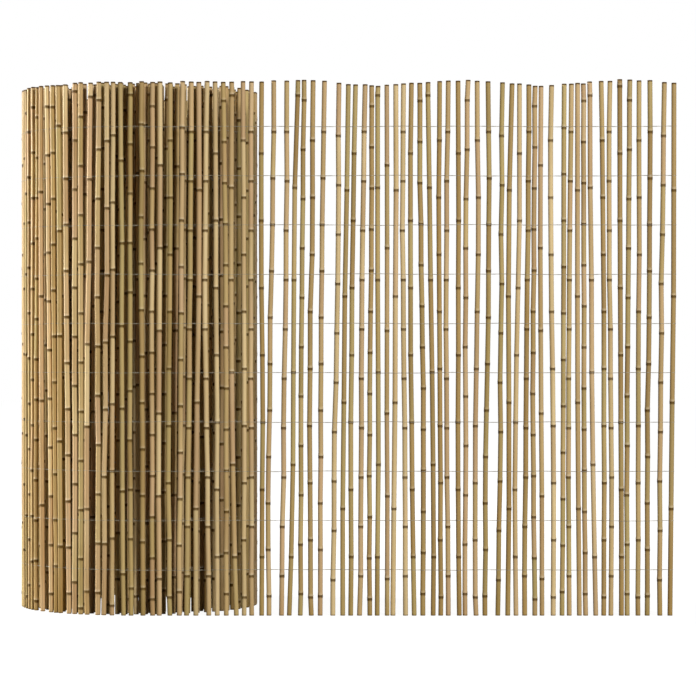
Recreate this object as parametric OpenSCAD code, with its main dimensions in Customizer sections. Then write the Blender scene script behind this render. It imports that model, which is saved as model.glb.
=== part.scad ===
// Bamboo cane screening on a roll, standing on its feet and partly drawn out.
// Whole canes with their knots stand side by side, held by rows of folded galvanised wire.
// The origin is under the middle of the outline, Z is up, and the drawn-out stretch runs along +X.
// Places along the mat are measured from its free edge inwards.

/* [Mat] */
// Length of the whole mat, from its free edge to its inner end
mat_length = 5000; // [4600:50:5600]
// Length that is drawn out straight, from the free edge to the front of the roll
open_length = 1020; // [900:10:1100]
// Mean height of the canes
cane_height = 999; // [900:1:1200]
// How far the line of the cane tops rises and falls about that height near the free edge
top_wave = 5; // [0:0.5:8]
// Length of one rise and fall along the mat
top_wave_length = 309; // [200:1:500]
// Length from the free edge over which the tops rise and fall
top_wave_run = 794; // [0:1:1100]
// How far the other tops stand above the mean height
top_rest = 1.5; // [0:0.5:5]
// Most that one cane is longer or shorter than its neighbours
top_scatter = 1.6; // [0:0.1:3]
// Mean distance from one cane to the next
cane_pitch = 17.6; // [16:0.1:20]

/* [Roll] */
// Radius of the outermost turn, to the middle of its canes
roll_radius = 231; // [215:1:240]
// Distance from one turn to the next
turn_pitch = 25; // [18:0.5:28]

/* [Canes] */
// Mean thickness of a cane between its knots
cane_d = 9.2; // [8:0.1:9.5]
// Most that a cane is thicker or thinner than the mean, as a share of it
cane_spread = 0.03; // [0:0.01:0.04]
// How far a knot stands out from its cane
knot_rise = 0.5; // [0.3:0.05:0.6]
// Height of the ring round a knot
knot_ring = 2.2; // [1.5:0.1:3]
// Height over which a cane swells towards a knot, on each side of the ring
knot_flare = 3; // [2:0.5:5]
// Width of the hollow that shows in a cane's cut ends
pith_d = 3; // [2:0.1:4]
// Thickness of the wall at a knot that closes the hollow
knot_wall = 2; // [1:0.1:3]
// Least distance from a cut end to a knot
knot_margin = 12; // [8:1:20]
// Least gap between the knots of two canes
cane_gap = 0.3; // [0.2:0.1:1]

/* [Wires] */
// Number of wire rows, one above the other
wire_rows = 10; // [6:1:12]
// Height of the lowest row above the ground
wire_foot = 85.6; // [60:0.1:120]
// Distance of the highest row below the mean height of the canes
wire_top = 82.1; // [60:0.1:120]
// Thickness of the wire
wire_d = 0.6; // [0.5:0.1:1.2]
// Gap between a wire and the thickest knot
wire_gap = 0.2; // [0.1:0.05:0.3]

/* [Hidden] */
$fn = 72;

// Kinds of cane: distance between knots, and the lowest knot as a share of that distance
CANE_KINDS = [
    [199, 0.01], [92.5, 0.73], [87, 0.43], [107, 0.33], [92.5, 0.45], [126, 0.88],
    [92.5, 0.81], [173, 0.64], [77, 0.54], [155, 0.45], [77, 0.41], [87, 0.52]
];

// Canes of the open stretch from the free edge in: kind, and the share of the slack that
// lies before the foot and before the top. Unequal shares make a cane lean.
OPEN_CANES = [
    [0, 1.5, 0.4], [1, 1.2, 1.05], [2, 1.9, 2.4], [3, 0.95, 1.4], [4, 1.4, 0.95],
    [5, 0, 1.2], [6, 1.3, 1.1], [3, 0.4, 0.85], [7, 0.6, 1.6], [8, 1.2, 0.15],
    [0, 0.15, 0], [6, 1.2, 0.1], [11, 0.4, 0.4], [3, 0.85, 1.9], [9, 1.5, 1.3],
    [10, 0.4, 0.05], [6, 1.2, 0.15], [5, 0.8, 1], [0, 0.7, 0.45], [1, 1.15, 1.05],
    [2, 1.95, 2.4], [3, 0.85, 1.4], [4, 1.45, 0.9], [5, 0, 1.2], [6, 1.45, 1.1],
    [3, 0.5, 0.8], [7, 0.5, 1.6], [8, 1.25, 0.7], [5, 0.8, 0.7], [6, 0.8, 0.6],
    [0, 1.9, 0.55], [9, 0, 0.9], [7, 1.15, 0.8], [10, 0.45, 0.2], [6, 1.25, 0.2],
    [5, 0.85, 1.05], [0, 0.6, 0.4], [1, 1.15, 1], [2, 1.9, 2.4], [3, 0.85, 1.55],
    [4, 1.45, 0.9], [7, 1.45, 0.1], [6, 0.55, 1.5], [2, 1.85, 2], [5, 0.45, 1.75],
    [6, 1.15, 1.2], [3, 0.5, 0.75], [7, 0.55, 1.55], [8, 1.2, 0.75], [5, 0.9, 0.65],
    [6, 0.75, 0.6], [0, 1.95, 0.7], [6, 1, 0.5], [11, 0.4, 0.8], [3, 1, 1.8],
    [9, 1.35, 1.25], [10, 0.25, 0.45]
];

// Further canes are spaced by chance, in groups whose feet and tops take the same room
GROUP = 8;
LEAST_SHARE = 0.1;
MOST_SHARE = 2;
FOOT_SEED = 49;
TOP_SEED = 350;
KIND_SEED = 23;
SLIDE_SEED = 31;
GIRTH_SEED = 47;
LENGTH_SEED = 59;

// Place of the lowest tops nearest to the free edge
top_dip = 253;

cane_r_most = cane_d / 2 * (1 + cane_spread);
knot_r_most = cane_r_most + knot_rise;
step_least = 2 * knot_r_most + cane_gap;
step_slack = cane_pitch - step_least;
strand_off = knot_r_most + wire_gap + wire_d / 2;
wire_step = (cane_height - wire_foot - wire_top) / (wire_rows - 1);
outline_left = -roll_radius - strand_off - wire_d / 2;
outline_middle = (open_length + outline_left) / 2;

cane_count = round(mat_length / cane_pitch);
chance_count = max(0, cane_count - len(OPEN_CANES));

function sum(list, i = 0) = i < len(list) ? list[i] + sum(list, i + 1) : 0;

function group_shares(seed) =
    let (raw = rands(LEAST_SHARE, MOST_SHARE, GROUP, seed))
    raw * GROUP / sum(raw);

function chance_shares(seed) =
    [for (g = [0:ceil(chance_count / GROUP)]) each group_shares(seed + g)];

foot_shares = concat([for (cane = OPEN_CANES) cane[1]], chance_shares(FOOT_SEED));
top_shares = concat([for (cane = OPEN_CANES) cane[2]], chance_shares(TOP_SEED));

// Places of the canes along the mat, from the shares of slack before them
function places(shares) =
    [for (
        n = 0, s = step_least / 2 + step_slack * shares[0];
        n < cane_count;
        n = n + 1, s = s + step_least + step_slack * shares[n]
    ) s];

foot_places = places(foot_shares);
top_places = places(top_shares);
mat_end = max(foot_places[cane_count - 1], top_places[cane_count - 1]) + step_least / 2;

chance_kinds = rands(0, len(CANE_KINDS), cane_count, KIND_SEED);
chance_slides = rands(0, 1, cane_count, SLIDE_SEED);
girths = rands(1 - cane_spread, 1 + cane_spread, cane_count, GIRTH_SEED);
scatters = rands(-top_scatter, top_scatter, cane_count, LENGTH_SEED);

function kind_of(n) =
    CANE_KINDS[n < len(OPEN_CANES) ? OPEN_CANES[n][0] : floor(chance_kinds[n])];

function lowest_knot(n) =
    kind_of(n)[0] * (n < len(OPEN_CANES) ? kind_of(n)[1] : chance_slides[n]);

function top_rise(s) =
    s < top_wave_run ? -top_wave * cos(360 * (s - top_dip) / top_wave_length) : top_rest;

function cane_length(n) = cane_height + scatters[n] + top_rise(top_places[n]);

function knots(n) =
    [for (z = [lowest_knot(n) : kind_of(n)[0] : cane_length(n) - knot_margin])
        if (z > knot_margin) z];

// The roll is a spiral of half turns. Even ones lie on the left about the origin of the roll,
// odd ones on the right about a centre half a turn_pitch behind it.
function half_turn_radius(k) = roll_radius - k * turn_pitch / 2;
function half_turn_centre(k) = k % 2 == 0 ? 0 : turn_pitch / 2;
function half_turn_start(k) =
    open_length + PI * (k * roll_radius - k * (k - 1) / 4 * turn_pitch);

half_turn_last = max([for (k = [0:20]) if (half_turn_start(k) < mat_end) k]);

function half_turn_at(s) =
    max([for (k = [0:half_turn_last]) if (half_turn_start(k) <= s) k]);

function share_of_half_turn(k, s) =
    (s - half_turn_start(k)) / (PI * half_turn_radius(k));

// Outline of half a cane: its hollow ends, and a ring with two flares at each knot
function cane_outline(r, knots, length) =
    let (
        knot_r = r + knot_rise,
        ring = knot_ring / 2,
        low_wall = knots[0] - knot_wall,
        high_wall = knots[len(knots) - 1] + knot_wall
    )
    concat(
        [[0, low_wall], [pith_d / 2, low_wall], [pith_d / 2, 0], [r, 0]],
        [for (z = knots) each [
            [r, z - ring - knot_flare],
            [knot_r, z - ring],
            [knot_r, z + ring],
            [r, z + ring + knot_flare]
        ]],
        [[r, length], [pith_d / 2, length], [pith_d / 2, high_wall], [0, high_wall]]
    );

// Puts its children at a place along the mat, with X towards the free edge and -Y outwards
module at_place(s) {
    if (s < open_length)
        translate([open_length - s, -roll_radius, 0]) children();
    else {
        k = half_turn_at(s);
        translate([0, half_turn_centre(k), 0])
            rotate([0, 0, -180 * (k + share_of_half_turn(k, s))])
                translate([0, -half_turn_radius(k), 0])
                    children();
    }
}

// One cane, leaning from its foot's place to its top's place, with its foot on the ground
module cane(n) {
    r = cane_d / 2 * girths[n];
    length = cane_length(n);
    middle = (foot_places[n] + top_places[n]) / 2;
    lean = asin((foot_places[n] - top_places[n]) / length);
    at_place(middle)
        translate([middle - foot_places[n], 0, r * sin(abs(lean))])
            rotate([0, lean, 0])
                rotate_extrude()
                    polygon(cane_outline(r, knots(n), length));
}

// The canes whose places lie between two places along the mat
module canes(from, to) {
    color("#b99a68")
        translate([-outline_middle, 0, 0])
            for (n = [0:cane_count - 1])
                if (foot_places[n] >= from && foot_places[n] < to)
                    cane(n);
}

module open_canes() canes(0, open_length);

module outer_turn_canes() canes(open_length, half_turn_start(2));

module middle_turn_canes() canes(half_turn_start(2), half_turn_start(4));

module inner_turn_canes() canes(half_turn_start(4), mat_end);

// A core inside the joint of two stretches of a wire, along X
module wire_core() {
    rotate([0, 90, 0])
        cylinder(d = wire_d / 2, h = wire_d, center = true, $fn = 24);
}

// One leg of a wire along the mat: side is -1 for the outer face and 1 for the inner face
module wire_leg(side) {
    fold = strand_off + wire_d / 2;
    translate([0, -roll_radius + side * strand_off, 0])
        rotate([0, 90, 0])
            cylinder(d = wire_d, h = open_length - fold);
    for (k = [0:half_turn_last]) {
        turn = 180 * min(1, share_of_half_turn(k, mat_end));
        radius = half_turn_radius(k) - side * strand_off;
        translate([0, half_turn_centre(k), 0]) {
            rotate_extrude(angle = turn, start = 270 - 180 * k - turn)
                translate([radius, 0])
                    circle(d = wire_d);
            translate([0, k % 2 == 0 ? -radius : radius, 0])
                wire_core();
        }
    }
}

// The fold of a wire round the cane at the free edge
module wire_fold() {
    translate([open_length - strand_off - wire_d / 2, -roll_radius, 0]) {
        rotate_extrude(angle = 180, start = -90)
            translate([strand_off, 0])
                circle(d = wire_d);
        for (side = [-1, 1])
            translate([0, side * strand_off, 0])
                wire_core();
    }
}

// A row is one wire, folded at the free edge, with one leg on each face of the mat
module wire_row(row) {
    color("#a9aaa5")
        translate([-outline_middle, 0, wire_foot + (row - 1) * wire_step])
            union() {
                wire_leg(-1);
                wire_leg(1);
                wire_fold();
            }
}

open_canes();
outer_turn_canes();
middle_turn_canes();
inner_turn_canes();
for (row = [1:wire_rows])
    wire_row(row);
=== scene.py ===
"""Looks of the bamboo cane screening roll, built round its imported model.

Every cane is read from the solids of its node: where it stands, how thick it is and where its
knots are. It is then built again with the shape and skin of real bamboo, and the wire rows are
twisted round it.
"""

import logging
import math
from dataclasses import dataclass, field
from enum import Enum

import bpy
import numpy as np
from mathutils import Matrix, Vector


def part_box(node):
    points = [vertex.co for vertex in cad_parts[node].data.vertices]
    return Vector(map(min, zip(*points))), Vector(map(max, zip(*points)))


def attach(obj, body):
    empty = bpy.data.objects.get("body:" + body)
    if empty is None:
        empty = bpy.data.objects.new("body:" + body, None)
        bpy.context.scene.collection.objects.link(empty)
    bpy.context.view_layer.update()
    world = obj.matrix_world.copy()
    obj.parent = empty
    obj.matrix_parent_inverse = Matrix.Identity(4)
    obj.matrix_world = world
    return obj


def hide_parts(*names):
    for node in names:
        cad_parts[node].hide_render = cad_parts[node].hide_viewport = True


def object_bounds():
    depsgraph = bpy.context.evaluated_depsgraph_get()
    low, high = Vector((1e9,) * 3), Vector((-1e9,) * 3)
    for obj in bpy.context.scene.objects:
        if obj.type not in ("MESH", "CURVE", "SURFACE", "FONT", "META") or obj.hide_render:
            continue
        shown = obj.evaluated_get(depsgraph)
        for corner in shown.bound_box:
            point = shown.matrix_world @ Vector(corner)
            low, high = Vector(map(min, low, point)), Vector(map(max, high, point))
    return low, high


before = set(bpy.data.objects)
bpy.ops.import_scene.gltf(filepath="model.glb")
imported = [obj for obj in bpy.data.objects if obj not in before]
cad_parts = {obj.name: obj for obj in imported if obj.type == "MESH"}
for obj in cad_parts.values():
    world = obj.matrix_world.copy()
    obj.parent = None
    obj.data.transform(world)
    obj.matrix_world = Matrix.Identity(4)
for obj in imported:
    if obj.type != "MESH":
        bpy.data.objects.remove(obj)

CAD_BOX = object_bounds()

MM = 0.001
BODY = "root"
CANE_NODES = ("open_canes", "outer_turn_canes", "middle_turn_canes", "inner_turn_canes")

log = logging.getLogger("screening")


class CaneTone(Enum):
    """Colours that dry bamboo skin takes, in linear light."""

    HONEY = (0.42, 0.28, 0.10)
    GREENISH = (0.47, 0.365, 0.145)
    STRAW = (0.55, 0.398, 0.175)
    ROSY = (0.555, 0.373, 0.20)
    PALE = (0.675, 0.52, 0.275)


class NodeTree:
    """Short ways to add nodes to a material."""

    def __init__(self, name: str) -> None:
        """Starts an empty node material.

        Args:
            name: the material's name.
        """
        self.material = bpy.data.materials.new(name)
        self.material.use_nodes = True
        self.tree = self.material.node_tree
        self.tree.nodes.clear()
        self.output = self.tree.nodes.new("ShaderNodeOutputMaterial")

    def add(self, kind: str, **values: object) -> bpy.types.Node:
        """Adds a node and sets its properties.

        Args:
            kind: the node's type.
            values: names and values of its properties.

        Returns:
            The new node.
        """
        node = self.tree.nodes.new(kind)
        for name, value in values.items():
            setattr(node, name, value)
        return node

    def link(self, source: bpy.types.NodeSocket, target: bpy.types.NodeSocket) -> None:
        """Joins two sockets."""
        self.tree.links.new(source, target)

    def attribute(self, name: str) -> bpy.types.NodeSocket:
        """The factor of a mesh attribute."""
        return self.add("ShaderNodeAttribute", attribute_name=name).outputs["Fac"]

    def math(
        self,
        operation: str,
        first: bpy.types.NodeSocket | float,
        second: bpy.types.NodeSocket | float = 0.0,
        clamp: bool = False,
    ) -> bpy.types.NodeSocket:
        """Works out one step of arithmetic.

        Args:
            operation: the name of the operation.
            first: the first socket or number.
            second: the second socket or number.
            clamp: whether the result is kept between 0 and 1.

        Returns:
            The socket that holds the result.
        """
        node = self.add("ShaderNodeMath", operation=operation, use_clamp=clamp)
        for socket, value in zip(node.inputs, (first, second)):
            if isinstance(value, bpy.types.NodeSocket):
                self.link(value, socket)
            else:
                socket.default_value = value
        return node.outputs[0]

    def mix(
        self,
        amount: bpy.types.NodeSocket | float,
        first: bpy.types.NodeSocket | tuple[float, float, float],
        second: bpy.types.NodeSocket | tuple[float, float, float],
        blend: str = "MIX",
    ) -> bpy.types.NodeSocket:
        """Mixes two colours.

        Args:
            amount: how much of the second colour shows.
            first: the colour underneath.
            second: the colour on top.
            blend: the name of the blend.

        Returns:
            The socket that holds the mixed colour.
        """
        node = self.add("ShaderNodeMix", data_type="RGBA", blend_type=blend)
        for socket, value in zip((node.inputs[0], node.inputs[6], node.inputs[7]), (amount, first, second)):
            if isinstance(value, bpy.types.NodeSocket):
                self.link(value, socket)
            elif isinstance(value, tuple):
                socket.default_value = (*value, 1.0)
            else:
                socket.default_value = value
        return node.outputs[2]

    def noise(
        self, place: bpy.types.NodeSocket, stretch: tuple[float, float, float], scale: float, detail: float
    ) -> bpy.types.NodeSocket:
        """Noise in the object's own space, stretched along its axes.

        Args:
            place: the coordinates.
            stretch: what the coordinates are multiplied by.
            scale: the noise's scale.
            detail: the noise's detail.

        Returns:
            The socket that holds the noise, around 0.5.
        """
        mapping = self.add("ShaderNodeMapping")
        mapping.inputs["Scale"].default_value = stretch
        self.link(place, mapping.inputs["Vector"])
        noise = self.add("ShaderNodeTexNoise")
        noise.inputs["Scale"].default_value = scale
        noise.inputs["Detail"].default_value = detail
        self.link(mapping.outputs[0], noise.inputs["Vector"])
        return noise.outputs["Fac"]

    def ramp(
        self, amount: bpy.types.NodeSocket, stops: list[tuple[float, tuple[float, float, float]]]
    ) -> bpy.types.NodeSocket:
        """Turns a factor into a colour.

        Args:
            amount: the factor.
            stops: places from 0 to 1 and their colours.

        Returns:
            The socket that holds the colour.
        """
        node = self.add("ShaderNodeValToRGB")
        elements = node.color_ramp.elements
        while len(elements) < len(stops):
            elements.new(0.5)
        for element, (place, colour) in zip(elements, stops):
            element.position = place
            element.color = (*colour, 1.0)
        self.link(amount, node.inputs[0])
        return node.outputs[0]

    def bump(self, height: bpy.types.NodeSocket, strength: float, distance: float) -> bpy.types.NodeSocket:
        """A normal that follows a height.

        Args:
            height: the height.
            strength: how much of it shows.
            distance: its size in metres.

        Returns:
            The socket that holds the normal.
        """
        node = self.add("ShaderNodeBump")
        node.inputs["Strength"].default_value = strength
        node.inputs["Distance"].default_value = distance
        self.link(height, node.inputs["Height"])
        return node.outputs[0]

    def surface(
        self,
        colour: bpy.types.NodeSocket | tuple[float, float, float],
        roughness: bpy.types.NodeSocket | float,
        normal: bpy.types.NodeSocket | None = None,
        **numbers: float,
    ) -> bpy.types.Material:
        """Ends the material in one Principled shader.

        Args:
            colour: the base colour.
            roughness: the roughness.
            normal: the normal, where there is a bump.
            numbers: plain values for further sockets, with _ for spaces in their names.

        Returns:
            The finished material.
        """
        shader = self.add("ShaderNodeBsdfPrincipled")
        for name, value in (("Base Color", colour), ("Roughness", roughness), ("Normal", normal)):
            if isinstance(value, bpy.types.NodeSocket):
                self.link(value, shader.inputs[name])
            elif isinstance(value, tuple):
                shader.inputs[name].default_value = (*value, 1.0)
            elif value is not None:
                shader.inputs[name].default_value = value
        for name, value in numbers.items():
            shader.inputs[name.replace("_", " ")].default_value = value
        self.link(shader.outputs[0], self.output.inputs["Surface"])
        return self.material


@dataclass(frozen=True)
class BambooSkin:
    """The hard outer skin of a cane, with its brown rings that carry painted shade, a pale band above each ring that is
    mostly a painted highlight with some wax bloom, and long fibres.
    """

    # ring: dark brown of the node rings, partly their own colour and partly painted shade of the groove under each
    # crest
    ring: tuple[float, float, float] = (0.075, 0.034, 0.001)
    # bloom: pale band above each knot ring, mostly a painted highlight on the node's crest, with some wax bloom
    bloom: tuple[float, float, float] = (0.72, 0.60, 0.40)
    # stain: dark brown laid on the branch scars, beside the knots and over the darker band at each end
    stain: tuple[float, float, float] = (0.12, 0.070, 0.018)
    fibre_scale: float = 900.0
    fibre_stretch: float = 0.02
    mottle_scale: float = 26.0
    roughness: float = 0.46

    def material(self) -> bpy.types.Material:
        """Builds the skin's material.

        Returns:
            The material, which reads the attributes that Cane.shell writes.
        """
        nodes = NodeTree("bamboo_skin")
        place = nodes.add("ShaderNodeTexCoord").outputs["Object"]
        tones = list(CaneTone)
        stops = [((n + 0.5) / len(tones), tone.value) for n, tone in enumerate(tones)]
        colour = nodes.ramp(nodes.attribute("tone"), stops)
        mottle = nodes.noise(place, (1.0, 1.0, 0.12), self.mottle_scale, 3.0)
        warm = nodes.ramp(mottle, [(0.3, (0.80, 0.74, 0.62)), (0.55, (1.0, 1.0, 1.0)), (0.75, (1.06, 1.03, 0.98))])
        colour = nodes.mix(1.0, colour, warm, "MULTIPLY")
        shade = nodes.ramp(nodes.attribute("shade"), [(0.0, (0.82, 0.79, 0.71)), (1.0, (1.10, 1.09, 1.08))])
        colour = nodes.mix(1.0, colour, shade, "MULTIPLY")
        fibre = nodes.noise(place, (1.0, 1.0, self.fibre_stretch), self.fibre_scale, 2.0)
        streak = nodes.ramp(fibre, [(0.35, (0.86, 0.83, 0.78)), (0.6, (1.04, 1.03, 1.02))])
        colour = nodes.mix(0.55, colour, streak, "MULTIPLY")
        # Painted highlight: the pale band above each ring, with some wax bloom
        colour = nodes.mix(nodes.math("MULTIPLY", nodes.attribute("bloom"), 0.5), colour, self.bloom)
        # Darker on the branch scars, beside the knots and in the band at each end
        colour = nodes.mix(nodes.attribute("stain"), colour, self.stain)
        # Painted shade: the ring colour stands for the dark node ring and for the shade in its groove
        colour = nodes.mix(nodes.attribute("ring"), colour, self.ring)
        rough = nodes.math("MULTIPLY_ADD", fibre, 0.2, False)
        rough.node.inputs[2].default_value = self.roughness - 0.1
        return nodes.surface(colour, rough, nodes.bump(fibre, 0.25, 0.15 * MM), Specular_IOR_Level=0.08)


@dataclass(frozen=True)
class SawnEnd:
    """The sawn end of a cane: a pale wall with dark fibre dots."""

    wall: tuple[float, float, float] = (0.44, 0.30, 0.14)
    dot: tuple[float, float, float] = (0.13, 0.075, 0.03)
    dot_scale: float = 2600.0

    def material(self) -> bpy.types.Material:
        """Builds the end's material."""
        nodes = NodeTree("sawn_end")
        place = nodes.add("ShaderNodeTexCoord").outputs["Object"]
        cells = nodes.add("ShaderNodeTexVoronoi")
        cells.inputs["Scale"].default_value = self.dot_scale
        nodes.link(place, cells.inputs["Vector"])
        dots = nodes.ramp(cells.outputs["Distance"], [(0.25, self.dot), (0.45, self.wall)])
        grime = nodes.noise(place, (1.0, 1.0, 1.0), 320.0, 2.0)
        stained = nodes.ramp(grime, [(0.4, (0.62, 0.56, 0.48)), (0.65, (1.0, 1.0, 1.0))])
        return nodes.surface(nodes.mix(1.0, dots, stained, "MULTIPLY"), 0.85)


@dataclass(frozen=True)
class PithHollow:
    """The inside of a cane's hollow, drawn dark brown: partly its own dry colour and partly painted shade in the bore.
    """

    colour: tuple[float, float, float] = (0.16, 0.10, 0.05)

    def material(self) -> bpy.types.Material:
        """Builds the hollow's material."""
        nodes = NodeTree("pith_hollow")
        place = nodes.add("ShaderNodeTexCoord").outputs["Object"]
        felt = nodes.noise(place, (1.0, 1.0, 0.3), 700.0, 2.0)
        dark = tuple(0.45 * part for part in self.colour)
        return nodes.surface(nodes.ramp(felt, [(0.35, dark), (0.7, self.colour)]), 0.95)


@dataclass(frozen=True)
class GalvanisedWire:
    """Thin zinc-coated wire that has gone dull."""

    bright: tuple[float, float, float] = (0.44, 0.395, 0.295)
    dull: tuple[float, float, float] = (0.23, 0.20, 0.145)
    roughness: float = 0.5

    def material(self) -> bpy.types.Material:
        """Builds the wire's material."""
        nodes = NodeTree("galvanised_wire")
        place = nodes.add("ShaderNodeTexCoord").outputs["Object"]
        bloom = nodes.noise(place, (1.0, 1.0, 1.0), 240.0, 3.0)
        colour = nodes.ramp(bloom, [(0.38, self.dull), (0.62, self.bright)])
        rough = nodes.math("MULTIPLY_ADD", bloom, 0.3)
        rough.node.inputs[2].default_value = self.roughness - 0.1
        return nodes.surface(colour, rough, nodes.bump(bloom, 0.2, 0.05 * MM), Metallic=0.15)


@dataclass(frozen=True)
class PaleGround:
    """A white floor that shows as plain white where no shadow falls on it."""

    colour: tuple[float, float, float] = (0.18, 0.176, 0.168)
    glow: float = 0.935
    near: float = 0.8
    far: float = 2.5

    def material(self) -> bpy.types.Material:
        """Builds the floor's material."""
        nodes = NodeTree("pale_ground")
        path = nodes.add("ShaderNodeLightPath")
        seen = nodes.math("MAXIMUM", path.outputs["Is Camera Ray"], path.outputs["Is Glossy Ray"])
        seen = nodes.math("MAXIMUM", seen, path.outputs["Is Transmission Ray"])
        matt = nodes.add("ShaderNodeBsdfDiffuse")
        matt.inputs["Color"].default_value = (*self.colour, 1.0)
        light = nodes.add("ShaderNodeEmission")
        light.inputs["Color"].default_value = (1.0, 1.0, 1.0, 1.0)
        distance = nodes.add("ShaderNodeVectorMath", operation="LENGTH")
        nodes.link(nodes.add("ShaderNodeTexCoord").outputs["Object"], distance.inputs[0])
        glow = nodes.add("ShaderNodeMapRange")
        for name, value in (("From Min", self.near), ("From Max", self.far), ("To Min", self.glow)):
            glow.inputs[name].default_value = value
        nodes.link(distance.outputs["Value"], glow.inputs["Value"])
        nodes.link(nodes.math("MULTIPLY", seen, glow.outputs[0]), light.inputs["Strength"])
        both = nodes.add("ShaderNodeAddShader")
        nodes.link(matt.outputs[0], both.inputs[0])
        nodes.link(light.outputs[0], both.inputs[1])
        nodes.link(both.outputs[0], nodes.output.inputs["Surface"])
        return nodes.material


@dataclass
class Skin:
    """A mesh that is being put together: points, faces, and what is painted on them."""

    points: list[np.ndarray] = field(default_factory=list)
    faces: list[np.ndarray] = field(default_factory=list)
    slots: list[np.ndarray] = field(default_factory=list)
    paints: dict[str, list[np.ndarray]] = field(default_factory=dict)
    count: int = 0

    def add(self, points: np.ndarray, faces: np.ndarray, slots: np.ndarray, **paints: np.ndarray) -> None:
        """Adds one closed shell.

        Args:
            points: its points.
            faces: its faces, four points each.
            slots: the material of each face.
            paints: named values at each point.
        """
        self.points.append(points)
        self.faces.append(faces + self.count)
        self.slots.append(slots)
        for name, values in paints.items():
            self.paints.setdefault(name, []).append(values)
        self.count += len(points)

    def piece(self, name: str, materials: list[bpy.types.Material]) -> bpy.types.Object:
        """Turns what was added into one object.

        Args:
            name: the object's name.
            materials: its materials, in the order of the slots.

        Returns:
            The new object, already in the scene.
        """
        points = np.concatenate(self.points)
        faces = np.concatenate(self.faces)
        mesh = bpy.data.meshes.new(name)
        mesh.vertices.add(len(points))
        mesh.vertices.foreach_set("co", points.astype(np.float32).ravel())
        mesh.loops.add(faces.size)
        mesh.loops.foreach_set("vertex_index", faces.astype(np.int32).ravel())
        mesh.polygons.add(len(faces))
        mesh.polygons.foreach_set("loop_start", np.arange(0, faces.size, 4, dtype=np.int32))
        for material in materials:
            mesh.materials.append(material)
        mesh.polygons.foreach_set("material_index", np.concatenate(self.slots).astype(np.int32))
        for paint, values in self.paints.items():
            layer = mesh.attributes.new(paint, "FLOAT", "POINT")
            layer.data.foreach_set("value", np.concatenate(values).astype(np.float32))
        mesh.update(calc_edges=True)
        mesh.shade_smooth()
        mesh.set_sharp_from_angle(angle=math.radians(50))
        piece = bpy.data.objects.new(name, mesh)
        bpy.context.scene.collection.objects.link(piece)
        return piece


@dataclass(eq=False)
class Cane:
    """One cane, as its solid gives it, in metres."""

    foot: np.ndarray
    top: np.ndarray
    radius: float
    knot_radius: float
    knots: np.ndarray
    pith_radius: float
    outward: np.ndarray = field(default_factory=lambda: np.array([0.0, -1.0, 0.0]))
    along: float = 0.0
    sway: np.ndarray = field(default_factory=lambda: np.zeros(0))

    @classmethod
    def from_points(cls, points: np.ndarray) -> "Cane":
        """Reads a cane from the points of its solid.

        Args:
            points: the solid's points.

        Returns:
            The cane.
        """
        ring = 0.6 * MM
        low = points[points[:, 2] < points[:, 2].min() + ring]
        high = points[points[:, 2] > points[:, 2].max() - ring]
        foot, top = low.mean(axis=0), high.mean(axis=0)
        axis = (top - foot) / np.linalg.norm(top - foot)
        height = (points - foot) @ axis
        reach = np.linalg.norm(points - foot - height[:, None] * axis, axis=1)
        at_foot = np.abs(height) < ring
        radius = reach[at_foot].max()
        pith = reach[at_foot].min()
        knot_radius = reach.max()
        high_up = np.sort(height[reach > radius + 0.6 * (knot_radius - radius)])
        breaks = np.flatnonzero(np.diff(high_up) > 10 * MM) + 1
        knots = np.array([part.mean() for part in np.split(high_up, breaks)])
        return cls(foot, top, float(radius), float(knot_radius), knots, float(pith))

    @property
    def length(self) -> float:
        """The cane's length."""
        return float(np.linalg.norm(self.top - self.foot))

    @property
    def axis(self) -> np.ndarray:
        """The direction from foot to top."""
        return (self.top - self.foot) / self.length

    @property
    def tangent(self) -> np.ndarray:
        """The level direction along the mat."""
        return np.cross(self.outward, [0.0, 0.0, 1.0])

    def centre(self, height: np.ndarray | float) -> np.ndarray:
        """Where the cane's middle is at some height along it, with the sway of its joints.

        Args:
            height: distances from the foot.

        Returns:
            The points.
        """
        height = np.atleast_1d(height)
        stations = np.concatenate([[0.0], self.knots, [self.length]])
        sway = np.stack([np.interp(height, stations, self.sway[:, n]) for n in range(2)], axis=1)
        straight = self.foot + height[:, None] * self.axis
        return straight + sway[:, :1] * self.tangent + sway[:, 1:] * self.outward

    def radius_at(self, height: np.ndarray | float) -> np.ndarray:
        """How thick the cane is at some heights along it, as a radius."""
        near = np.abs(self.knots - np.atleast_1d(height)[:, None]).min(axis=1)
        swell = np.interp(near, [1.9 * MM, 5.0 * MM], [1.0, 0.0])
        return self.radius + swell * (self.knot_radius - self.radius)


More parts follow.
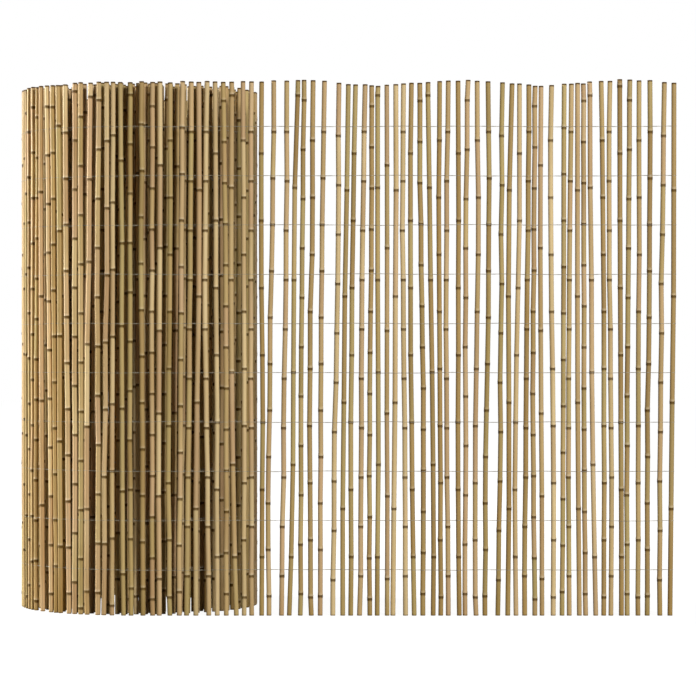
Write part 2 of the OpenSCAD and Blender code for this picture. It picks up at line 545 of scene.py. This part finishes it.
@dataclass
class CaneShape:
    """How a cane is built again from its solid: rings of points with what is painted on them."""

    sides: int
    seed: int
    end_band: float = 3.2 * MM
    hollow_depth: float = 24.0 * MM

    # Height from the knot in mm, share of the knot's rise, ring (the dark node ring with painted shade of its groove),
    # bloom (mostly a painted highlight on the crest above the ring, with some wax bloom) and stain
    KNOT_RINGS = (
        (-5.0, 0.0, 0.0, 0.2, 0.0),
        (-3.6, 0.3, 0.2, 0.0, 0.2),
        (-2.2, 1.0, 1.0, 0.0, 0.3),
        (-0.8, 0.9, 1.0, 0.0, 0.3),
        (0.1, 0.5, 1.0, 0.0, 0.3),
        (0.9, 0.9, 0.9, 0.0, 0.1),
        (1.4, 1.0, 0.05, 0.95, 0.0),
        (3.0, 0.6, 0.0, 1.0, 0.0),
        (7.0, 0.0, 0.0, 0.2, 0.0),
    )

    def rings(self, cane: Cane) -> np.ndarray:
        """The rings of a cane's skin from foot to top.

        Args:
            cane: the cane.

        Returns:
            One row a ring: height, radius, ring, bloom and stain.
        """
        rise = cane.knot_radius - cane.radius
        # The end rows draw the last few mm of each end darker, the top much more than the foot, with the ring's dark
        # brown at the very ends and a pale band just below the top's
        r, length, stain = cane.radius, cane.length, self.end_band
        rows = [(0.0, r - 0.25 * MM, 0.2, 0.0, 0.8), (0.3 * MM, r, 0.1, 0.0, 0.5), (stain, r, 0.0, 0.0, 0.0)]
        for knot in cane.knots:
            for height, share, ring, bloom, dark in self.KNOT_RINGS:
                rows.append((knot + height * MM, r + share * rise, ring, bloom, dark))
        rows += [(length - stain, r, 0.0, 0.3, 0.0), (length - 0.75 * stain, r, 0.5, 0.0, 0.9)]
        rows += [(length - 0.3 * MM, r, 0.8, 0.0, 1.0), (length, r - 0.25 * MM, 1.0, 0.0, 1.0)]
        return np.array(sorted(rows))

    def shell(self, cane: Cane, skin: Skin, chance: np.random.Generator) -> None:
        """Adds one cane to a mesh.

        Args:
            cane: the cane.
            skin: the mesh.
            chance: where the cane's own variation comes from.
        """
        rings = self.rings(cane)
        depth = self.hollow_depth
        pith = cane.pith_radius * chance.uniform(0.9, 1.1)
        low = min(depth, cane.knots[0] - 3 * MM)
        high = min(depth, cane.length - cane.knots[-1] - 3 * MM)
        rows = np.concatenate([
            [[low, 0.05 * MM, 0, 0, 0], [low, pith, 0, 0, 0], [0, pith, 0, 0, 0], [0, pith, 0, 0, 0]],
            [[0, rings[0, 1], 0, 0, 0.5]],
            rings,
            [[cane.length, rings[-1, 1], 1, 0, 1]],
            [[cane.length, pith, 0, 0, 0], [cane.length, pith, 0, 0, 0]],
            [[cane.length - high, pith, 0, 0, 0], [cane.length - high, 0.05 * MM, 0, 0, 0]],
        ])
        turn = 2 * math.pi * (np.arange(self.sides) + chance.uniform()) / self.sides
        side_a = cane.tangent - (cane.tangent @ cane.axis) * cane.axis
        side_a /= np.linalg.norm(side_a)
        side_b = np.cross(cane.axis, side_a)
        oval = 1 + 0.012 * np.cos(2 * turn + chance.uniform(0, math.pi))
        centre = cane.centre(rows[:, 0])
        around = np.cos(turn)[:, None] * side_a + np.sin(turn)[:, None] * side_b
        points = centre[:, None, :] + rows[:, 1, None, None] * (oval[:, None] * around)[None]
        points, stain = self.scars(cane, rows, points, turn, around, chance)
        count = len(rows)
        grid = np.arange(count * self.sides).reshape(count, self.sides)
        after = np.roll(grid, -1, axis=1)
        faces = np.stack([grid[:-1], after[:-1], after[1:], grid[1:]], axis=-1).reshape(-1, 4)
        slots = np.zeros(count - 1, int)
        slots[[0, 1, 2, -1, -2, -3]] = 2
        slots[[3, 4 + len(rings)]] = 1
        shade = chance.uniform(0, 1, len(cane.knots) + 1)
        tone = np.clip(chance.uniform() + chance.normal(0, 0.1, len(cane.knots) + 1), 0, 1)
        room = np.searchsorted(cane.knots, rows[:, 0])
        nearest = np.abs(rows[:, :1] - cane.knots).argmin(axis=1)
        strength = chance.uniform(0.85, 1.0, len(cane.knots))[nearest]
        spread = np.repeat(rows, self.sides, axis=0)
        # Painted shade: the ring, and the dark band at each end, is drawn darker at the cane's two sides along the mat,
        # and reaches further up and down there
        painted_side_shade = np.tile(np.cos(turn) ** 2, count)
        ring = spread[:, 2] * (0.8 + 0.2 * painted_side_shade + 5 * (1 - spread[:, 2]) * painted_side_shade)
        skin.add(
            points.reshape(-1, 3),
            faces,
            np.repeat(slots, self.sides),
            ring=np.clip(ring, 0, 1) * np.repeat(strength, self.sides),
            # bloom: mostly a painted highlight on the crest above each ring, with some wax bloom
            bloom=spread[:, 3] * chance.uniform(0.3, 1.0),
            stain=np.clip(spread[:, 4] + stain.ravel(), 0, 1),
            shade=np.repeat(0.6 * shade[room] + 0.4 * chance.uniform(), self.sides),
            tone=np.repeat(tone[room], self.sides),
        )

    def scars(
        self,
        cane: Cane,
        rows: np.ndarray,
        points: np.ndarray,
        turn: np.ndarray,
        around: np.ndarray,
        chance: np.random.Generator,
    ) -> tuple[np.ndarray, np.ndarray]:
        """Raises the scar of a cut-off branch above each knot, on alternate sides.

        Args:
            cane: the cane.
            rows: its rings.
            points: their points.
            turn: the angle of each point round its ring.
            around: the direction of each point from the middle.
            chance: where the scars' variation comes from.

        Returns:
            The moved points, and how dark each is stained.
        """
        first = chance.uniform(0, 2 * math.pi)
        stain = np.zeros(points.shape[:2])
        for n, knot in enumerate(cane.knots):
            bearing = first + math.pi * (n % 2) + chance.uniform(-0.2, 0.2)
            facing = np.clip(np.cos(turn - bearing), 0, 1) ** 6
            near = np.clip(1 - np.abs(rows[:, 0] - knot - 1.2 * MM) / (2.2 * MM), 0, 1)
            outside = rows[:, 1] > cane.pith_radius * 1.3
            weight = (near * outside)[:, None] * facing[None] * chance.uniform(0.0, 1.0)
            points = points + (0.35 * MM * weight)[:, :, None] * around[None]
            stain += 0.8 * weight
        return points, stain


class Mat:
    """The mat as a whole: its canes in order, from the free edge to the inner end."""

    def __init__(self) -> None:
        """Measures the roll from the nodes' boxes."""
        low, high = (np.array(corner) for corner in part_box("outer_turn_canes"))
        inner_low, inner_high = (np.array(corner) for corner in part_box("middle_turn_canes"))
        self.half = (high[1] - low[1]) / 2
        self.centre = np.array([low[0] + self.half, (low[1] + high[1]) / 2])
        self.turn_pitch = ((high[0] - low[0]) - (inner_high[0] - inner_low[0])) / 2
        self.canes: dict[str, list[Cane]] = {}

    def read(self, node: str) -> list[Cane]:
        """Reads the canes of a node and puts them in their order along the mat.

        Args:
            node: the node's name.

        Returns:
            Its canes.
        """
        canes = [Cane.from_points(points) for points in loose_parts(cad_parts[node].data)]
        for cane in canes:
            self.place(cane, node)
        canes.sort(key=lambda cane: cane.along)
        self.canes[node] = canes
        return canes

    def place(self, cane: Cane, node: str) -> None:
        """Works out which way a cane faces, and how far along the mat it stands.

        Args:
            cane: the cane.
            node: the node that it is in.
        """
        middle = (cane.foot + cane.top) / 2
        away = middle[:2] - self.centre
        if node == "open_canes":
            cane.along = -middle[0]
            return
        cane.outward = np.array([*(away / np.linalg.norm(away)), 0.0])
        turned = math.atan2(-away[0], -away[1]) / (2 * math.pi) % 1
        radius = self.half - cane.knot_radius
        wound = (radius - np.linalg.norm(away)) / self.turn_pitch
        cane.along = 1 + turned + round(wound - turned + 0.25)

    def in_order(self) -> list[Cane]:
        """All canes from the free edge to the inner end."""
        return [cane for node in CANE_NODES for cane in self.canes[node]]

    def let_sway(self, chance: np.random.Generator, least_gap: float = 0.15 * MM) -> None:
        """Gives every cane the small bends that bamboo has at its knots, clear of its neighbours.

        Args:
            chance: where the bends come from.
            least_gap: what stays free between two canes.
        """
        canes = self.in_order()
        for cane in canes:
            cane.sway = np.zeros((len(cane.knots) + 2, 2))
        for n, cane in enumerate(canes):
            wish = self.bends(cane, chance)
            for share in (1.0, 0.7, 0.45, 0.25, 0.0):
                cane.sway = wish * share
                beside = canes[max(0, n - 1) : n] + canes[n + 1 : n + 2]
                if all(clearance(cane, other) > least_gap for other in beside):
                    break

    def bends(self, cane: Cane, chance: np.random.Generator) -> np.ndarray:
        """Small sideways steps from knot to knot, with a long bow.

        Args:
            cane: the cane.
            chance: where the bends come from.

        Returns:
            The sway along and across the mat, at the foot, each knot and the top.
        """
        stations = np.concatenate([[0.0], cane.knots, [cane.length]]) / cane.length
        share = 1.0 if cane in self.canes["open_canes"] else 0.5
        bow = np.sin(math.pi * stations) * chance.normal(0, 2.4 * MM) * share
        wave = np.sin(2 * math.pi * stations) * chance.normal(0, 1.0 * MM) * share
        steps = chance.normal(0, 0.5 * MM, len(stations))
        steps[[0, -1]] = 0
        along = bow + wave + steps
        across = chance.normal(0, 0.12 * MM, len(stations))
        across[[0, -1]] = 0
        return np.stack([along, across], axis=1)


def loose_parts(mesh: bpy.types.Mesh) -> list[np.ndarray]:
    """Splits a mesh into its separate solids.

    Args:
        mesh: the mesh.

    Returns:
        The points of each solid.
    """
    places = np.empty(len(mesh.vertices) * 3)
    mesh.vertices.foreach_get("co", places)
    points, index = np.unique(np.round(places.reshape(-1, 3), 6), axis=0, return_inverse=True)
    ends = np.empty(len(mesh.edges) * 2, int)
    mesh.edges.foreach_get("vertices", ends)
    one, other = index.ravel()[ends.reshape(-1, 2)].T
    label = np.arange(len(points))
    while True:
        lowest = np.minimum(label[one], label[other])
        new = label.copy()
        np.minimum.at(new, one, lowest)
        np.minimum.at(new, other, lowest)
        new = new[new]
        if (new == label).all():
            return [points[label == part] for part in np.unique(label)]
        label = new


def clearance(cane: Cane, other: Cane, spacing: float = 60 * MM) -> float:
    """The least gap between two canes, at their knots and at even steps between them.

    Args:
        cane: one cane.
        other: the other cane.
        spacing: the distance between the even steps.

    Returns:
        The gap.
    """
    heights = np.concatenate([cane.knots, other.knots, np.arange(0.0, cane.length, spacing)])
    apart = np.linalg.norm(cane.centre(heights) - other.centre(heights), axis=1)
    return float((apart - cane.radius_at(heights) - other.radius_at(heights)).min())


@dataclass
class CaneBundle:
    """The canes of one node, as one piece."""

    node: str
    shape: CaneShape

    def build(self, mat: Mat, materials: list[bpy.types.Material]) -> bpy.types.Object:
        """Builds the piece and puts it in place of its node.

        Args:
            mat: the mat, with its canes read.
            materials: skin, sawn end and hollow.

        Returns:
            The piece.
        """
        chance = np.random.default_rng(self.shape.seed)
        skin = Skin()
        for cane in mat.canes[self.node]:
            self.shape.shell(cane, skin, chance)
        piece = skin.piece(f"{self.node}_dressed", materials)
        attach(piece, BODY)
        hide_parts(self.node)
        return piece


@dataclass
class WireRow:
    """One row of wire: two legs that pass each side of every cane and twist between them."""

    node: str
    seed: int
    sides: int = 4
    gap: float = 0.03 * MM
    wander: float = 0.8 * MM

    # Where a leg passes a cane, as angles from the way that the cane faces
    WRAP = (-45, -15, 15, 45)

    def build(self, mat: Mat, material: bpy.types.Material) -> bpy.types.Object:
        """Builds the row and puts it in place of its node.

        Args:
            mat: the mat, with its canes read.
            material: the wire's material.

        Returns:
            The piece.
        """
        low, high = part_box(self.node)
        radius = (high[2] - low[2]) / 2
        level = (high[2] + low[2]) / 2
        outer, inner = self.legs(mat.in_order(), level, radius, high[0] - radius)
        path = np.concatenate([inner[::-1], outer])
        skin = Skin()
        self.tube(path, radius, skin)
        piece = skin.piece(f"{self.node}_dressed", [material])
        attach(piece, BODY)
        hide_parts(self.node)
        return piece

    def legs(self, canes: list[Cane], level: float, radius: float, edge: float) -> tuple[np.ndarray, np.ndarray]:
        """The paths of both legs from the free edge to the inner end.

        Args:
            canes: the canes in their order.
            level: the row's height.
            radius: the wire's radius.
            edge: how far the fold at the free edge reaches along X.

        Returns:
            The points of the leg that starts on the outer face, and of the other one.
        """
        chance = np.random.default_rng(self.seed)
        up = np.array([0.0, 0.0, 1.0])
        drift = np.cumsum(chance.normal(0, 0.35 * MM, len(canes)))
        drift -= np.convolve(drift, np.ones(25) / 25, "same")
        drift = np.clip(drift, -self.wander, self.wander)
        paths: list[list[np.ndarray]] = [[], []]
        side = 1.0
        last = None
        for n, cane in enumerate(canes):
            height = level - cane.foot[2] + drift[n]
            middle = cane.centre(height)[0]
            reach = (cane.radius_at(height)[0] + radius + self.gap) / math.cos(math.radians(15))
            along = -cane.tangent
            if last is not None:
                self.twist(paths, last, (middle, reach, along, cane.outward), side, radius)
                side = -side
            else:
                self.fold(paths, middle, reach, edge, radius)
            for leg, face in enumerate((side, -side)):
                out = face * cane.outward
                start = 0 if last is not None else 1
                for angle in self.WRAP[start:]:
                    bearing = math.radians(angle)
                    paths[leg].append(middle + reach * (math.sin(bearing) * along + math.cos(bearing) * out))
            last = (middle, reach, along, cane.outward)
        tail = last[0] + (last[1] + 3 * MM) * last[2]
        for leg, face in enumerate((side, -side)):
            paths[leg].append(tail + face * radius * up)
            paths[leg].append(tail + 4 * MM * last[2] + face * radius * last[3])
        return np.array(paths[0]), np.array(paths[1])

    def fold(self, paths: list[list[np.ndarray]], middle: np.ndarray, reach: float, edge: float, radius: float) -> None:
        """Starts both legs at the fold round the first cane.

        Args:
            paths: the two legs.
            middle: the cane's middle at the row.
            reach: how far from it the wire lies.
            edge: how far the fold reaches along X.
            radius: the wire's radius; not used.
        """
        tip = min(reach, edge - middle[0])
        for leg, face in enumerate((-1.0, 1.0)):
            for angle in (90, 60, 40)[leg:]:
                bearing = math.radians(angle)
                paths[leg].append(middle + np.array([tip * math.sin(bearing), face * reach * math.cos(bearing), 0.0]))

    def twist(self, paths: list[list[np.ndarray]], last: tuple, following: tuple, side: float, radius: float) -> None:
        """Twists the legs round each other from one cane to the next, so that they change sides.

        Args:
            paths: the two legs.
            last: middle, reach, direction along the mat and outward direction at the cane before.
            following: the same at the next cane.
            side: which side the first leg passed the cane before, 1 or -1.
            radius: the wire's radius.
        """
        begin = last[0] + 0.98 * last[1] * last[2]
        end = following[0] - 0.98 * following[1] * following[2]
        run = float(np.linalg.norm(end - begin))
        forward = float((end - begin) @ (last[2] + following[2])) > 0
        turns = 3 if forward and run > 6 * MM else 1
        steps = 2 * turns if forward and run > 2 * MM else 1
        out = last[3] + following[3]
        out /= np.linalg.norm(out)
        up = np.array([0.0, 0.0, 1.0])
        for step in range(steps):
            share = (step + 0.5) / steps
            place = begin + share * (end - begin)
            angle = math.pi * turns * share
            arm = 1.04 * radius * (math.cos(angle) * out * side + math.sin(angle) * up)
            paths[0].append(place + arm)
            paths[1].append(place - arm)

    def tube(self, path: np.ndarray, radius: float, skin: Skin) -> None:
        """Sweeps the wire's round section along its path.

        Args:
            path: the path's points.
            radius: the wire's radius.
            skin: the mesh that it is added to.
        """
        ahead = np.diff(path, axis=0)
        ahead = np.concatenate([ahead[:1], ahead[:-1] + ahead[1:], ahead[-1:]])
        ahead /= np.linalg.norm(ahead, axis=1)[:, None]
        level = np.cross(ahead, [0.0, 0.0, 1.0])
        level /= np.linalg.norm(level, axis=1)[:, None]
        upward = np.cross(level, ahead)
        turn = 2 * math.pi * np.arange(self.sides) / self.sides
        arms = np.cos(turn)[None, :, None] * level[:, None] + np.sin(turn)[None, :, None] * upward[:, None]
        girth = radius * (math.pi / self.sides) / math.sin(math.pi / self.sides)
        points = path[:, None] + girth * arms
        points = np.concatenate([path[:1, None].repeat(self.sides, 1), points, path[-1:, None].repeat(self.sides, 1)])
        count = len(points)
        grid = np.arange(count * self.sides).reshape(count, self.sides)
        after = np.roll(grid, -1, axis=1)
        faces = np.stack([grid[:-1], grid[1:], after[1:], after[:-1]], axis=-1).reshape(-1, 4)
        skin.add(points.reshape(-1, 3), faces, np.zeros(len(faces), int))


@dataclass
class Studio:
    """Camera, lamps, floor and background."""

    middle_x: float = 0.0093
    eye_height: float = 0.5015
    distance: float = 5.37
    view_width: float = 1.3036
    sensor: float = 36.0
    sky: float = 0.005
    ground: PaleGround = field(default_factory=PaleGround)

    def build(self) -> None:
        """Sets up everything that isn't part of the object."""
        self.camera()
        self.lamps()
        self.floor()
        self.world()
        bpy.context.scene.view_settings.view_transform = "Standard"

    def camera(self) -> None:
        """A level camera in front of the drawn-out stretch."""
        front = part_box("open_canes")[0][1]
        data = bpy.data.cameras.new("camera")
        data.sensor_width = self.sensor
        data.lens = self.sensor * self.distance / self.view_width
        camera = bpy.data.objects.new("camera", data)
        camera.location = (self.middle_x, front - self.distance, self.eye_height)
        camera.rotation_euler = (math.radians(90), 0, 0)
        bpy.context.scene.collection.objects.link(camera)
        bpy.context.scene.camera = camera

    def lamps(self) -> None:
        """A key lamp from the front right, one from the roll's side, and a weaker one from behind."""
        self.lamp("key_lamp", (3.4, -8.4, 3.3), (0.0, -0.1, 0.5), 1.4, 825.0)
        self.lamp("side_lamp", (-4.2, 0.7, 1.4), (-0.4, 0.0, 0.5), 0.8, 340.0)
        self.lamp("back_lamp", (0.2, 3.9, 2.2), (0.0, 0.1, 0.5), 1.2, 40.0)

    def lamp(
        self, name: str, place: tuple[float, float, float], aim: tuple[float, float, float], size: float, power: float
    ) -> None:
        """Adds one area lamp.

        Args:
            name: its name.
            place: where it stands.
            aim: the point that it faces.
            size: its width.
            power: its power in watts.
        """
        data = bpy.data.lights.new(name, "AREA")
        data.size = size
        data.energy = power
        lamp = bpy.data.objects.new(name, data)
        lamp.location = place
        lamp.rotation_euler = (Vector(aim) - Vector(place)).to_track_quat("-Z", "Y").to_euler()
        bpy.context.scene.collection.objects.link(lamp)

    def floor(self) -> None:
        """A wide white floor under the canes' feet."""
        bpy.ops.mesh.primitive_plane_add(size=40, location=(0, 0, CAD_BOX[0][2] - 0.1 * MM))
        floor = bpy.context.object
        floor.name = "floor"
        floor.data.materials.append(self.ground.material())

    def world(self) -> None:
        """A soft even sky that the camera sees as white."""
        world = bpy.data.worlds.new("studio")
        bpy.context.scene.world = world
        world.use_nodes = True
        nodes, links = world.node_tree.nodes, world.node_tree.links
        background = nodes["Background"]
        path = nodes.new("ShaderNodeLightPath")
        seen = path.outputs["Is Camera Ray"]
        for name in ("Is Glossy Ray", "Is Transmission Ray"):
            both = nodes.new("ShaderNodeMath")
            both.operation = "MAXIMUM"
            links.new(seen, both.inputs[0])
            links.new(path.outputs[name], both.inputs[1])
            seen = both.outputs[0]
        level = nodes.new("ShaderNodeMapRange")
        level.inputs["To Min"].default_value = self.sky
        level.inputs["To Max"].default_value = 1.0
        links.new(seen, level.inputs["Value"])
        links.new(level.outputs[0], background.inputs["Strength"])
        background.inputs["Color"].default_value = (1.0, 1.0, 1.0, 1.0)


def main() -> None:
    """Builds the whole scene in order."""
    logging.basicConfig(level=logging.INFO, format="%(message)s")
    Studio().build()
    mat = Mat()
    for node in CANE_NODES:
        log.info("%s: read %d canes", node, len(mat.read(node)))
    mat.let_sway(np.random.default_rng(9))
    cane_materials = [BambooSkin().material(), SawnEnd().material(), PithHollow().material()]
    for n, node in enumerate(CANE_NODES):
        sides = (16, 12, 8, 8)[n]
        piece = CaneBundle(node, CaneShape(sides, seed=120 + n)).build(mat, cane_materials)
        log.info("%s: %d faces", piece.name, len(piece.data.polygons))
    wire = GalvanisedWire().material()
    rows = sorted(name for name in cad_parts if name.startswith("wire_row_"))
    for n, node in enumerate(rows):
        piece = WireRow(node, seed=300 + n).build(mat, wire)
        log.info("%s: %d faces", piece.name, len(piece.data.polygons))


if __name__ == "__main__":
    main()
